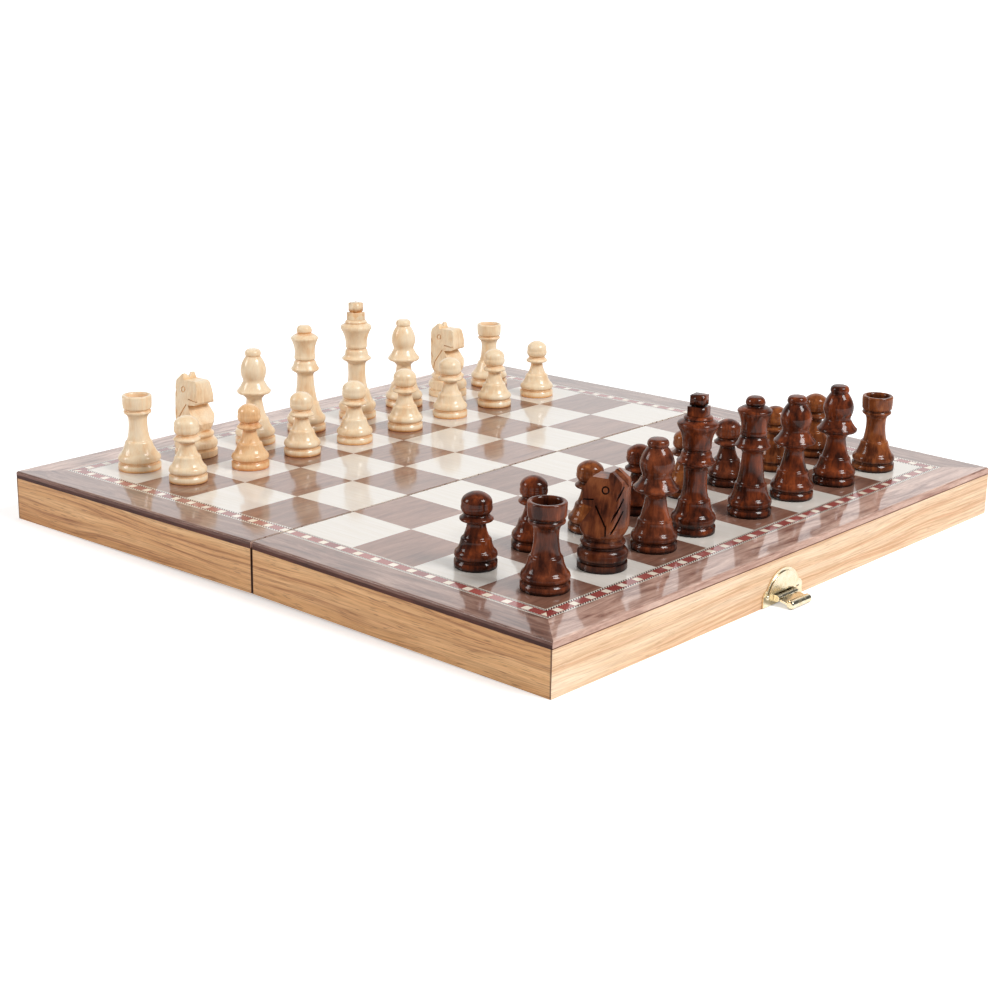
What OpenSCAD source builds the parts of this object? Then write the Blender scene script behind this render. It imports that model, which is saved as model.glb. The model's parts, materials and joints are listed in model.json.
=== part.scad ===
// Folding games box, shown opened flat with the chess side up and both armies set out.
// Two shallow wooden trays share two brass butt hinges; a brass catch holds them shut.
// X runs along the fold, -Y is the catch side, Z is up and the box stands on Z = 0; the
// origin is under the middle of the whole, catch included, so the fold lies at Y = fold_y.
// Every leaf is drawn in its own frame: the hinge axis is its origin, its rims lie at
// local Z = 0 and its playing face at local Z = leaf_h.

/* [Board] */
// Side of one chess square
cell_size = 36.2; // [30:0.1:38]
// Width of the box along the fold
board_w = 340; // [330:1:380]
// Depth of the opened box across the fold
board_d = 340; // [330:1:380]
// Height of one leaf, rim to playing face
leaf_h = 24; // [20:1:36]
// Thickness of the playing panel
panel_t = 3.6; // [2.6:0.1:6]
// Thickness of the tray walls
wall_t = 10; // [9.5:0.5:12]
// Bevel along the panel's outer edges
edge_bevel = 0.6; // [0.2:0.1:1.2]
// Thickness of the inlaid veneer on each playing face
veneer_t = 0.6; // [0.4:0.1:1]

/* [Fold] */
// Gap between the two leaves at their rims
fold_gap = 0.6; // [0.4:0.1:1.5]
// Radius of the hinge barrel, which also props up the middle of the open box
barrel_r = 2; // [1.6:0.1:3]
// Length of a hinge
hinge_len = 28; // [20:1:50]
// Distance of each hinge from the middle of the box
hinge_x = 110; // [60:1:130]
// Thickness of a hinge plate
hinge_t = 1.2; // [1.1:0.1:1.6]
// Width of a hinge plate, from the axis
hinge_plate_w = 8.5; // [7.5:0.1:9]
// Radius of the hinge pin
hinge_pin_r = 0.9; // [0.6:0.05:1.2]
// Height of the peened ends of the hinge pin
peen_h = 0.6; // [0.3:0.1:1]
// Radial clearance of a pin in the knuckle that turns on it
run_gap = 0.05; // [0.02:0.01:0.1]
// Gap between neighbouring knuckles
knuckle_gap = 0.2; // [0.1:0.05:0.5]
// Room left round the barrel in wood and plates
barrel_room = 0.3; // [0.2:0.1:0.6]

/* [Hinge screws] */
// Radius of a screw head
screw_head_r = 1.7; // [1.3:0.1:2.2]
// Height of the countersunk screw head
screw_head_h = 0.9; // [0.5:0.1:1]
// Radius of a screw shank
screw_shank_r = 0.8; // [0.5:0.1:1]
// Length of a screw
screw_len = 7; // [4:0.5:10]
// Distance between the two screws of a plate
screw_pitch = 18; // [12:1:24]
// Width and depth of the slots in a screw head
screw_slot = 0.4; // [0.2:0.1:0.5]

/* [Catch] */
// Place of the catch along the front wall
latch_x = -13.2; // [-60:0.1:60]
// Thickness of the catch plate
latch_t = 0.8; // [0.5:0.1:1.2]
// Radius of the arched plate
arch_r = 13.2; // [10:0.1:14]
// Height of the arch centre above the rim
arch_z = 2.5; // [1.5:0.1:4]
// Width of the plain rim round the raised arch
arch_margin = 1.4; // [1:0.1:4]
// Height of the raised arch
arch_boss_t = 0.6; // [0.3:0.1:0.9]
// Radius of the plate's two ears
ear_r = 3.5; // [2.5:0.1:4]
// Distance of each ear from the middle of the plate
ear_x = 11.6; // [10:0.1:13]
// Height of the ears above the rim
ear_z = 4.4; // [3.6:0.1:6]
// Clearance between the plate's lower edge and the rim
plate_lift = 0.4; // [0.2:0.1:1]
// Radius of the catch knuckles
latch_knuckle_r = 1.5; // [1.2:0.1:2]
// Height of the catch pivot above the rim
pivot_z = 3.6; // [3:0.1:5]
// Clearance between the turning knuckle and the plate
knuckle_room = 0.2; // [0.1:0.05:0.5]
// Radius of the catch pin
latch_pin_r = 0.6; // [0.4:0.05:0.9]
// Width of the catch tongue
tongue_w = 15; // [12:0.5:18]
// Width of the tongue's knuckle
tongue_knuckle_w = 8.6; // [6:0.1:10]
// Distance from the pivot to the middle of the thumb knob
tongue_reach = 7; // [6:0.1:10]
// Thickness of the tongue's arm
tongue_t = 1; // [0.6:0.1:1.4]
// Radius of the thumb knob
knob_r = 2; // [1.5:0.1:2.2]
// Rounding of the knob's ends
knob_round = 0.8; // [0.3:0.1:1.2]
// Gap between the knob and the table
rest_gap = 0.02; // [0.01:0.01:0.1]

/* [Keeper] */
// Gap from the rim up to the keeper plate and its lip
keeper_lift = 0.3; // [0.2:0.1:1]
// Width of the keeper plate
keeper_w = 18; // [14:0.5:24]
// Height of the keeper plate's top over the rim
keeper_h = 9; // [7:0.5:14]
// Height of the keeper's lip off its plate
lip_out = 1; // [0.6:0.1:1.2]
// Thickness of the lip
lip_t = 1; // [0.6:0.1:1.4]
// Length of the lip
lip_w = 9; // [6:0.5:12]

/* [Brass nails] */
// Radius of a nail head
nail_head_r = 1.1; // [0.8:0.1:1.5]
// Height of a nail head
nail_head_h = 0.6; // [0.4:0.1:1]
// Radius of a nail shank
nail_shank_r = 0.5; // [0.3:0.1:0.7]
// Length of a nail shank in the wood
nail_len = 6; // [4:0.5:8]

/* [Chess pieces] */
// Height of a king
king_h = 63.4; // [60:0.1:76]
// Height of a queen
queen_h = 55.8; // [52:0.1:70]
// Height of a bishop
bishop_h = 50.1; // [46:0.1:62]
// Height of a knight's blank, without its ears
knight_h = 42.4; // [40:0.1:50]
// Height of a rook
rook_h = 38.5; // [35:0.1:50]
// Height of a pawn
pawn_h = 33.4; // [31:0.1:40]
// Base radius of a king
king_r = 10; // [9.5:0.1:12]
// Base radius of a queen
queen_r = 10.1; // [9.5:0.1:12]
// Base radius of a bishop
bishop_r = 10.2; // [9.5:0.1:12]
// Base radius of a knight
knight_r = 10.7; // [10.5:0.1:12]
// Base radius of a rook
rook_r = 10.4; // [9.5:0.1:12]
// Base radius of a pawn
pawn_r = 9.2; // [8.5:0.1:11]
// Thickness of a base disc
foot_h = 3.4; // [2.6:0.1:4]
// Depth and height of the groove over a base disc
groove = 0.8; // [0.4:0.1:1]
// Thickness of a knight's flat-sided head between its ears
knight_t = 8.4; // [6:0.1:9]
// How far each flat side of its head leans out, going down
knight_flare = 10; // [9.5:0.1:12]
// Radius of the hollow in a rook's top
rook_cup_r = 6.5; // [5.5:0.1:6.8]
// Depth of the hollow in a rook's top
rook_cup_d = 5; // [2:0.1:5.5]

/* [Hidden] */

// Where each chess piece stands: name, kind, leaf (-1 front, 1 rear), file from -X, row in
// cells from the fold, then how far it stands off the middle of its square along the fold
// and away from it, in cells, and how far it is turned from facing the other army.
// The pieces are turned by hand, so the last two say how slim its upper part is and how tall
// it is, as shares of its kind's outline. A knight's row ends with how blunt its head is.
PIECES = [
    ["dark_rook_1", "rook", -1, 0, 3.5, 0.01, 0.06, 0, 1, 0.975],
    ["dark_knight_1", "knight", -1, 1, 3.5, 0.06, 0.04, 16, 1, 1, 0],
    ["dark_bishop_1", "bishop", -1, 2, 3.5, 0.05, 0.04, 0, 1, 0.985],
    ["dark_king", "king", -1, 3, 3.5, -0.09, -0.01, 10, 1, 0.99],
    ["dark_queen", "queen", -1, 4, 3.5, 0.02, 0.06, 0, 1, 0.995],
    ["dark_bishop_2", "bishop", -1, 5, 3.5, 0.04, 0.02, 0, 0.98, 0.98],
    ["dark_bishop_3", "bishop", -1, 6, 3.5, 0.01, 0.05, 0, 0.96, 0.965],
    ["dark_rook_2", "rook", -1, 7, 3.5, -0.01, 0.06, 0, 0.92, 0.965],
    ["dark_pawn_1", "pawn", -1, 0, 2.5, 0.03, -0.01, 0, 0.98, 0.985],
    ["dark_pawn_2", "pawn", -1, 1, 2.5, 0.04, -0.01, 0, 0.89, 0.965],
    ["dark_pawn_3", "pawn", -1, 2, 2.5, 0.04, 0.04, 0, 0.89, 0.96],
    ["dark_pawn_4", "pawn", -1, 3, 2.5, 0.08, 0, 0, 0.89, 0.955],
    ["dark_pawn_5", "pawn", -1, 4, 2.5, 0.09, -0.02, 0, 0.89, 0.955],
    ["dark_pawn_6", "pawn", -1, 5, 2.5, -0.08, 0.06, 0, 0.9, 0.96],
    ["dark_pawn_7", "pawn", -1, 6, 2.5, 0, 0.08, 0, 0.89, 0.945],
    ["dark_pawn_8", "pawn", -1, 7, 2.5, 0, 0.08, 0, 0.89, 0.945],
    ["light_rook_1", "rook", 1, 0, 3.5, 0.01, 0.07, 0, 0.87, 0.96],
    ["light_knight_1", "knight", 1, 1, 3.5, 0, 0.07, 0, 0.88, 0.96, 1],
    ["light_bishop_1", "bishop", 1, 2, 3.5, 0.01, -0.02, 0, 0.86, 0.975],
    ["light_queen", "queen", 1, 3, 3.5, 0.01, -0.01, 0, 0.89, 1],
    ["light_king", "king", 1, 4, 3.5, 0.05, -0.01, 0, 0.89, 0.985],
    ["light_bishop_2", "bishop", 1, 5, 3.5, 0.06, 0, 0, 0.86, 0.96],
    ["light_knight_2", "knight", 1, 6, 3.5, 0.05, 0.01, -6, 0.86, 0.94, 1],
    ["light_rook_2", "rook", 1, 7, 3.5, 0.01, 0, 0, 0.83, 0.92],
    ["light_pawn_1", "pawn", 1, 0, 2.5, 0.05, 0.11, 0, 0.88, 0.965],
    ["light_pawn_2", "pawn", 1, 1, 2.5, 0.07, 0.03, 0, 0.81, 0.955],
    ["light_pawn_3", "pawn", 1, 2, 2.5, 0.03, 0.03, 0, 0.84, 0.955],
    ["light_pawn_4", "pawn", 1, 3, 2.5, -0.01, -0.03, 0, 0.89, 0.96],
    ["light_pawn_5", "pawn", 1, 4, 2.5, 0.02, -0.03, 0, 0.88, 0.965],
    ["light_pawn_6", "pawn", 1, 5, 2.5, 0.03, 0.01, 0, 0.87, 0.965],
    ["light_pawn_7", "pawn", 1, 6, 2.5, -0.01, -0.02, 0, 0.82, 0.95],
    ["light_pawn_8", "pawn", 1, 7, 2.5, -0.06, -0.06, 0, 0.8, 0.935]
];

// Colours of the materials
OAK = "#e2bd8d";
WALNUT = "#5d3b30";
IVORY = "#efe6d0";
BRASS = "#d8b458";
DARK_WOOD = "#4b2413";
LIGHT_WOOD = "#efd9ae";

// Pieces over which a curve is divided
curve_steps = 5;
// How far a cutter passes a face it opens
past = 1;
$fn = 64;

half_w = board_w / 2;
outer_y = board_d / 2;
inner_y = fold_gap / 2;
wall_h = leaf_h - panel_t;
// The open box rests on its hinge barrels and its outer rims, so each leaf slopes a little
tilt = asin(barrel_r / outer_y);
third = hinge_len / 3;
pin_head_r = hinge_pin_r + 0.45;
barrel_half = hinge_len / 2 + peen_h + 2 * knuckle_gap;
screw_y = (barrel_r + barrel_room + hinge_plate_w) / 2;
arch_boss_r = arch_r - arch_margin;
pivot_y = outer_y + latch_t + latch_knuckle_r + knuckle_room;
// The knob lies on the table, which the sloping leaf nears by slope for each mm outwards
slope = barrel_r / outer_y;
knob_z = knob_r + rest_gap + slope * (pivot_y + tongue_reach - outer_y);
tongue_angle = asin((pivot_z - knob_z) / tongue_reach);
// The catch reaches further out than the keeper, which puts the fold off the middle
front_reach = pivot_y + tongue_reach * cos(tongue_angle) + knob_r;
rear_reach = outer_y + latch_t + lip_out;
fold_y = (front_reach - rear_reach) / 2;
keeper_nail_x = keeper_w / 2 - 2 * nail_head_r;
foot_round = 0.5;

// ---- helpers ----

// Puts a shape drawn for the front leaf in its place; leaf 1 is the mirrored rear leaf
module leaf(side) {
    translate([0, fold_y, 0]) mirror([0, side > 0 ? 1 : 0, 0])
        translate([0, 0, barrel_r]) rotate([tilt, 0, 0]) children();
}

// A cylinder along X from x0 to x1
module x_rod(r, x0, x1) {
    translate([x0, 0, 0]) rotate([0, 90, 0]) cylinder(r = r, h = x1 - x0);
}

// A cylinder pointing out of the front wall: along -Y from y = -y0 to y = -y1
module out_rod(r, y0, y1) {
    translate([0, -y0, 0]) rotate([90, 0, 0]) cylinder(r = r, h = y1 - y0);
}

// A flat shape in X and Z made solid towards -Y, its back at y = -y0
module out_plate(y0, t) {
    translate([0, -y0, 0]) rotate([90, 0, 0]) linear_extrude(t) children();
}

// Points from a to b on a bow: bulge is how far its middle stands out from the line
function bow(a, b, bulge) = bulge == 0 ? [b] :
    let (out = [b[1] - a[1], a[0] - b[0]] / norm(b - a))
    [for (i = [1:curve_steps]) let (t = i / curve_steps) a + (b - a) * t + out * bulge * 4 * t * (1 - t)];

// A turned outline from keys [radius, height, bulge of the bow that ends there]
function outline(keys) = concat([[keys[0][0], keys[0][1]]],
    [for (i = [1:len(keys) - 1])
        each bow([keys[i - 1][0], keys[i - 1][1]], [keys[i][0], keys[i][1]], keys[i][2])]);

module turned(keys) {
    rotate_extrude() polygon(outline(keys));
}

// ---- the two trays ----

// The layer from z0 to z1 of one leaf's top board, whose three outer edges are bevelled
module board_layer(z0, z1) {
    bevel_z = leaf_h - edge_bevel;
    intersection() {
        translate([0, -inner_y, 0]) rotate([90, 0, 0]) linear_extrude(outer_y - inner_y)
            polygon([[-half_w, 0], [half_w, 0], [half_w, bevel_z], [half_w - edge_bevel, leaf_h],
                     [edge_bevel - half_w, leaf_h], [-half_w, bevel_z]]);
        translate([-half_w, 0, 0]) rotate([90, 0, 90]) linear_extrude(board_w)
            polygon([[-inner_y, 0], [-inner_y, leaf_h], [edge_bevel - outer_y, leaf_h],
                     [-outer_y, bevel_z], [-outer_y, 0]]);
        translate([-half_w, -outer_y, z0]) cube([board_w, outer_y, z1 - z0]);
    }
}

module panel() {
    color(WALNUT) board_layer(wall_h, leaf_h - veneer_t);
}

module playing_face() {
    color(IVORY) board_layer(leaf_h - veneer_t, leaf_h);
}

module outer_wall_block() {
    linear_extrude(wall_h) polygon([[-half_w, -outer_y], [half_w, -outer_y],
        [half_w - wall_t, wall_t - outer_y], [wall_t - half_w, wall_t - outer_y]]);
}

module side_wall() {
    color(OAK) linear_extrude(wall_h) polygon([[half_w, -outer_y], [half_w, -inner_y],
        [half_w - wall_t, -inner_y - wall_t], [half_w - wall_t, wall_t - outer_y]]);
}

module hinge_wall() {
    color(OAK) difference() {
        linear_extrude(wall_h) polygon([[-half_w, -inner_y], [-half_w + wall_t, -inner_y - wall_t],
            [half_w - wall_t, -inner_y - wall_t], [half_w, -inner_y]]);
        for (s = [-1, 1]) translate([s * hinge_x, 0, 0]) {
            x_rod(barrel_r + barrel_room, -barrel_half, barrel_half);
            translate([-hinge_len / 2, -hinge_plate_w, -past])
                cube([hinge_len, hinge_plate_w + past, hinge_t + past]);
            for (k = [-1, 1]) translate([k * screw_pitch / 2, -screw_y, 0])
                cylinder(r = screw_shank_r, h = screw_len);
        }
    }
}

module outer_wall(nail_places) {
    color(OAK) difference() {
        outer_wall_block();
        for (p = nail_places) translate([p[0], 0, p[1]])
            out_rod(nail_shank_r, outer_y - nail_len, outer_y + past);
    }
}

// ---- hinges ----

// One half of a hinge: front halves carry the two end knuckles, rear halves the middle one
module hinge_half(front) {
    end_in = (third + knuckle_gap) / 2;
    mid_out = (third - knuckle_gap) / 2;
    own = front ? [[-hinge_len / 2, -end_in], [end_in, hinge_len / 2]] : [[-mid_out, mid_out]];
    room = barrel_r + barrel_room;
    web_end = (barrel_r + hinge_pin_r) / 2;
    color(BRASS) difference() {
        union() {
            translate([-hinge_len / 2, -hinge_plate_w, 0])
                cube([hinge_len, hinge_plate_w - room, hinge_t]);
            for (k = own) {
                translate([k[0], -room, 0]) cube([k[1] - k[0], room - web_end, hinge_t]);
                x_rod(barrel_r, k[0], k[1]);
            }
        }
        x_rod(hinge_pin_r + (front ? 0 : run_gap), -hinge_len, hinge_len);
        for (k = [-1, 1]) translate([k * screw_pitch / 2, -screw_y, 0])
            turned([[0, -past, 0], [screw_head_r, -past, 0], [screw_head_r, 0, 0],
                [screw_shank_r, screw_head_h, 0], [screw_shank_r, hinge_t + past, 0],
                [0, hinge_t + past, 0]]);
    }
}

module hinge_pin() {
    color(BRASS) {
        x_rod(hinge_pin_r, -hinge_len / 2, hinge_len / 2);
        x_rod(pin_head_r, -hinge_len / 2 - peen_h, -hinge_len / 2);
        x_rod(pin_head_r, hinge_len / 2, hinge_len / 2 + peen_h);
    }
}

module hinge_screws() {
    color(BRASS) for (s = [-1, 1], k = [-1, 1])
        translate([s * hinge_x + k * screw_pitch / 2, -screw_y, 0]) difference() {
            turned([[0, 0, 0], [screw_head_r, 0, 0], [screw_shank_r, screw_head_h, 0],
                [screw_shank_r, screw_len, 0], [0, screw_len, 0]]);
            for (a = [0, 90]) rotate([0, 0, a])
                translate([-screw_shank_r, -screw_slot / 2, -past])
                    cube([2 * screw_shank_r, screw_slot, past + screw_slot]);
        }
}

// ---- catch and keeper ----

latch_nail_places = [for (s = [-1, 1]) [latch_x + s * ear_x, ear_z]];
keeper_nail_places = [for (s = [-1, 1]) [latch_x + s * keeper_nail_x, keeper_h / 2]];

// Outline of an arch of radius r with its foot on the line z = foot
module arch_shape(r, foot) {
    intersection() {
        translate([0, arch_z]) circle(r);
        translate([-r, foot]) square([2 * r, r + arch_z]);
    }
}

module latch_plate() {
    end_w = (tongue_w - tongue_knuckle_w) / 2 - knuckle_gap;
    color(BRASS) translate([latch_x, 0, 0]) difference() {
        union() {
            out_plate(outer_y, latch_t) union() {
                arch_shape(arch_r, plate_lift);
                for (s = [-1, 1]) translate([s * ear_x, ear_z]) circle(ear_r);
                translate([-ear_x - ear_r, plate_lift]) square([2 * (ear_x + ear_r), ear_z - plate_lift]);
            }
            // Raised arch over the pivot
            out_plate(outer_y + latch_t, arch_boss_t)
                arch_shape(arch_boss_r, pivot_z + latch_knuckle_r + knuckle_room);
            // The two fixed knuckles and the webs that hold them
            for (s = [-1, 1]) translate([s * (tongue_w - end_w) / 2, 0, 0]) {
                translate([0, -pivot_y, pivot_z]) x_rod(latch_knuckle_r, -end_w / 2, end_w / 2);
                translate([-end_w / 2, -pivot_y, pivot_z - latch_knuckle_r])
                    cube([end_w, pivot_y - outer_y, 2 * latch_knuckle_r]);
            }
        }
        translate([0, -pivot_y, pivot_z]) x_rod(latch_pin_r, -tongue_w, tongue_w);
        for (s = [-1, 1]) translate([s * ear_x, 0, ear_z])
            out_rod(nail_shank_r, outer_y - past, outer_y + latch_t + past);
    }
}

module latch_tongue() {
    color(BRASS) translate([latch_x, -pivot_y, pivot_z]) rotate([tongue_angle, 0, 0]) difference() {
        union() {
            x_rod(latch_knuckle_r, -tongue_knuckle_w / 2, tongue_knuckle_w / 2);
            // Arm: as narrow as the knuckle between the fixed ones, full width beyond them
            translate([-tongue_knuckle_w / 2, -tongue_reach, -tongue_t / 2])
                cube([tongue_knuckle_w, tongue_reach, tongue_t]);
            translate([-tongue_w / 2, -tongue_reach, -tongue_t / 2])
                cube([tongue_w, tongue_reach - latch_knuckle_r - 2 * knuckle_room, tongue_t]);
            translate([-tongue_w / 2, -tongue_reach, 0]) rotate([0, 90, 0]) rotate_extrude()
                polygon(outline([[0, 0, 0], [knob_r - knob_round, 0, 0],
                    [knob_r, knob_round, knob_round * 0.2], [knob_r, tongue_w - knob_round, 0],
                    [knob_r - knob_round, tongue_w, knob_round * 0.2], [0, tongue_w, 0]]));
        }
        x_rod(latch_pin_r + run_gap, -tongue_w, tongue_w);
    }
}

module latch_pin() {
    color(BRASS) translate([latch_x, -pivot_y, pivot_z])
        x_rod(latch_pin_r, -tongue_w / 2, tongue_w / 2);
}

// Domed nails through a plate of thickness t into the wall behind it
module nails(places, t) {
    color(BRASS) for (p = places) translate([p[0], 0, p[1]]) {
        out_rod(nail_shank_r, outer_y - nail_len, outer_y + t);
        translate([0, -outer_y - t, 0]) rotate([90, 0, 0])
            turned([[0, 0, 0], [nail_head_r, 0, 0], [0, nail_head_h, 0.2]]);
    }
}

module keeper_plate() {
    color(BRASS) translate([latch_x, 0, 0]) difference() {
        union() {
            out_plate(outer_y, latch_t)
                translate([-keeper_w / 2, keeper_lift]) square([keeper_w, keeper_h - keeper_lift]);
            out_plate(outer_y + latch_t, lip_out)
                translate([-lip_w / 2, keeper_lift]) square([lip_w, lip_t]);
        }
        for (s = [-1, 1]) translate([s * keeper_nail_x, 0, keeper_h / 2])
            out_rod(nail_shank_r, outer_y - past, outer_y + latch_t + past);
    }
}

// ---- chess pieces ----

// Each outline below is drawn for the base radius and height in its DRAWN. fitted()
// stretches it to the sizes set above, and slims it from the bell's shoulder upwards.
function share(z, slim) = 1 + (slim - 1) * min(1, max(0, (z - 8.3) / 10));
function fitted(keys, k, slim) =
    [for (p = keys) [p[0] * k[0] * share(p[1], slim), p[1] * k[1], p[2] * min(k)]];

// The base disc and the groove over it
function foot(r) = [
    [0, 0, 0], [r - foot_round, 0, 0], [r, foot_round, foot_round / 4], [r, foot_h - foot_round / 2, 0],
    [r - groove, foot_h, 0], [r - groove, foot_h + groove, 0]];

// Bell and stepped shoulder over the groove: radius and height of the bell's widest line,
// then of the shoulder's top
function bell(r, z, shoulder_r, shoulder_z) = [
    [r, z, 0.25], [r - 1.4, z + 2.3, 0.3], [shoulder_r, shoulder_z, -0.25],
    [shoulder_r - 0.9, shoulder_z + 0.9, 0.15]];

ROOK_DRAWN = [10.4, 38.5];
rook_upper = concat(bell(10.4, 6.2, 7.1, 14.3), [
    [5.2, 24.9, -0.35], [5.3, 26.1, 0], [7.5, 29.3, -0.5], [7.7, 30.3, 0.1],
    [7.1, 30.9, 0], [7.1, 31.4, 0], [7.9, 32, 0.1], [8.2, 37.5, 0.1], [7.8, 38.5, 0.15]]);

PAWN_DRAWN = [9.2, 33.4];
pawn_upper = concat(bell(9.2, 6, 6.6, 12.6), [
    [4, 19.8, -0.3], [6.8, 20.8, -0.1], [7.3, 22, 0.3], [5.3, 23.8, -0.1],
    [6.7, 27.8, 0.75], [4.6, 32, 0.75], [0, 33.4, 0.35]]);

BISHOP_DRAWN = [10.2, 50.1];
bishop_upper = concat(bell(10.2, 6, 7.5, 13), [
    [4.6, 23.7, -0.3], [9.4, 26.8, -0.5], [10, 28.1, 0.2], [7.1, 31.9, -0.2],
    [6.3, 33.1, 0], [6.5, 34.5, 0], [7.5, 39.6, 0.35], [4.2, 46.4, 0.55],
    [4.7, 48.1, 0.25], [3.4, 49.9, 0.3], [0, 50.1, 0.05]]);

QUEEN_DRAWN = [10.1, 55.8];
queen_upper = concat(bell(10.1, 6.4, 7.4, 14.4), [
    [4.8, 29.8, -0.35], [7.5, 31.8, -0.3], [8.1, 33.2, 0.25], [6.6, 35.8, -0.2],
    [6.2, 36.8, 0], [5.6, 37.2, 0], [5.6, 37.8, 0], [6.2, 38.4, 0.15], [6, 40, 0.1],
    [7.7, 48.2, -0.6], [7.8, 49.6, 0.25], [5.8, 50.9, 0], [4, 51.7, -0.2],
    [4.4, 53.6, 0.3], [2.8, 55.6, 0.35], [0, 55.8, 0.05]]);

KING_DRAWN = [10, 63.4];
king_upper = concat(bell(10, 7, 7.2, 15), [
    [5.2, 25.4, -0.35], [5.4, 30.2, 0], [8.2, 32.2, -0.3], [8.7, 33.4, 0.25],
    [7, 35, -0.2], [6.6, 37.4, 0], [5.9, 38, 0], [5.9, 38.8, 0], [6.4, 39.4, 0.15],
    [6.4, 40.6, 0.1], [8.9, 48.8, -0.6], [9, 51, 0.3], [6.3, 52.4, 0],
    [6.3, 53.5, 0.2], [5.5, 54.1, 0], [0, 54.1, 0]]);
// The blocks of a king's cross, [width, height of its foot, height]: wide, waist, narrow
cross_blocks = [[7.6, 54.1, 4.1], [5.2, 58.2, 0.6], [6.2, 58.8, 4.6]];

KNIGHT_DRAWN = [10.7, 42.4];
// The blank a knight is carved from: bell, ring and a round column for its head
knight_upper = [
    [10.7, 6, 0.3], [9.4, 9.4, 0.6], [8.7, 9.8, 0], [8.7, 10.4, 0], [9.3, 11, 0.1],
    [9.4, 12.4, 0.3], [8.3, 13.2, 0], [8.5, 14.4, 0], [10.9, 20, 0.4], [10.9, 48.4, 0],
    [0, 48.4, 0]];
// Side view of its head, forwards and up: chest, throat, muzzle, brow, ear, crest, back. The
// blunt one, at 1, has a steep brow and a flat back, and the lean one, at 0, slopes back.
knight_top = 43.2;
function knight_side(blunt) = [[7 + 0.8 * blunt, 13], [8.2 + blunt, 15], [8.6 + 1.2 * blunt, 18],
    [2.4, 27.8], [6.2 + 2 * blunt, 28.4], [7.3 + 1.7 * blunt, 29.4], [7.5 + 1.6 * blunt, 31.6],
    [7 + 1.8 * blunt, 36], [5 + 3 * blunt, 39.4], [3.8 + 2.8 * blunt, 40.3],
    [-3.2, 40.2], [-3.8, 42.8], [-4.7, knight_top], [-9.2, 39.6], [blunt - 10.6, 36.6],
    [1.2 * blunt - 11, 32], [1.2 * blunt - 11, 13]];
// Heights of its brow, its jaw and the foot of its neck
knight_brow = 35.4;
knight_jaw = 28.2;
knight_neck = 13.4;

function stretch(size, drawn, tall) = [size[0] / drawn[0], size[1] / drawn[1] * tall];

module lathe(size, drawn, upper, slim, tall) {
    turned(concat(foot(size[0]), fitted(upper, stretch(size, drawn, tall), slim)));
}

module rook(slim, tall) {
    cup_r = rook_cup_r * slim;
    k = stretch([rook_r, rook_h], ROOK_DRAWN, tall);
    difference() {
        turned(concat(foot(rook_r), fitted(rook_upper, k, slim), [[0, rook_h * tall, 0]]));
        translate([0, 0, rook_h * tall - rook_cup_d])
            cylinder(r1 = cup_r - 0.4, r2 = cup_r, h = rook_cup_d + 0.01);
    }
}

module king(slim, tall) {
    k = stretch([king_r, king_h], KING_DRAWN, tall);
    w = k[0] * slim;
    lathe([king_r, king_h], KING_DRAWN, king_upper, slim, tall);
    for (b = cross_blocks) translate([-b[0] * w / 2, -b[0] * w / 2, b[1] * k[1]])
        cube([b[0] * w, b[0] * w, b[2] * k[1]]);
}

module knight(slim, tall, blunt) {
    k = stretch([knight_r, knight_h], KNIGHT_DRAWN, tall);
    w = k[0] * slim;
    top = knight_top * k[1];
    half_t = knight_t / 2 * w;
    low_t = half_t + top * tan(knight_flare);

    // Places its children on the flat side s of the head, at that height
    module on_side(s, forwards, height) {
        mirror([s < 0 ? 1 : 0, 0, 0]) translate([half_t + (top - height * k[1]) * tan(knight_flare),
            forwards * w, height * k[1]]) rotate([0, -knight_flare, 0]) children();
    }

    difference() {
        intersection() {
            lathe([knight_r, knight_h], KNIGHT_DRAWN, knight_upper, slim, tall);
            rotate([90, 0, 0]) translate([0, 0, -2 * knight_r]) linear_extrude(4 * knight_r)
                polygon([[-low_t, 0], [low_t, 0], [half_t, top], [half_t, top + past],
                         [-half_t, top + past], [-half_t, top]]);
            union() {
                cylinder(r = knight_r + past, h = knight_neck * k[1]);
                rotate([90, 0, 90]) translate([0, 0, -2 * knight_r]) linear_extrude(4 * knight_r)
                    polygon([for (p = knight_side(blunt)) [p[0] * w, p[1] * k[1]]]);
            }
        }
        // Parting between the ears and down the crest
        translate([0, -4 * w, top]) rotate([32, 0, 0]) rotate([0, 45, 0])
            translate([-1.6 * w, -20 * w, -1.6 * w]) cube([3.2 * w, 23 * w, 3.2 * w]);
        for (s = [-1, 1]) {
            // Eye ring
            on_side(s, -2.6, knight_brow) rotate([0, 90, 0]) difference() {
                cylinder(r = 1.8 * w, h = 1, center = true);
                cylinder(r = 1.1 * w, h = 2, center = true);
            }
            // Mouth, jaw and the crease under it
            on_side(s, 6.2, knight_jaw + 2.4) rotate([-6, 0, 0]) cube([2, 8 * w, 0.6 * w], center = true);
            on_side(s, -1.4, knight_jaw - 3.6) rotate([-32, 0, 0])
                cube([1, 0.8 * w, 9.6 * w], center = true);
            on_side(s, -4.4, knight_jaw - 10.4) rotate([-4, 0, 0])
                cube([1, 0.8 * w, 6.4 * w], center = true);
            // Mane grooves slanting down from the crest
            for (i = [0:3]) rotate([0, 0, s * 42]) translate([0, -knight_r * w, (36.4 - 5.2 * i) * k[1]])
                rotate([0, -s * 30, 0]) cube([0.9 * w, 1.6 * w, 15 * w], center = true);
        }
    }
}

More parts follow.
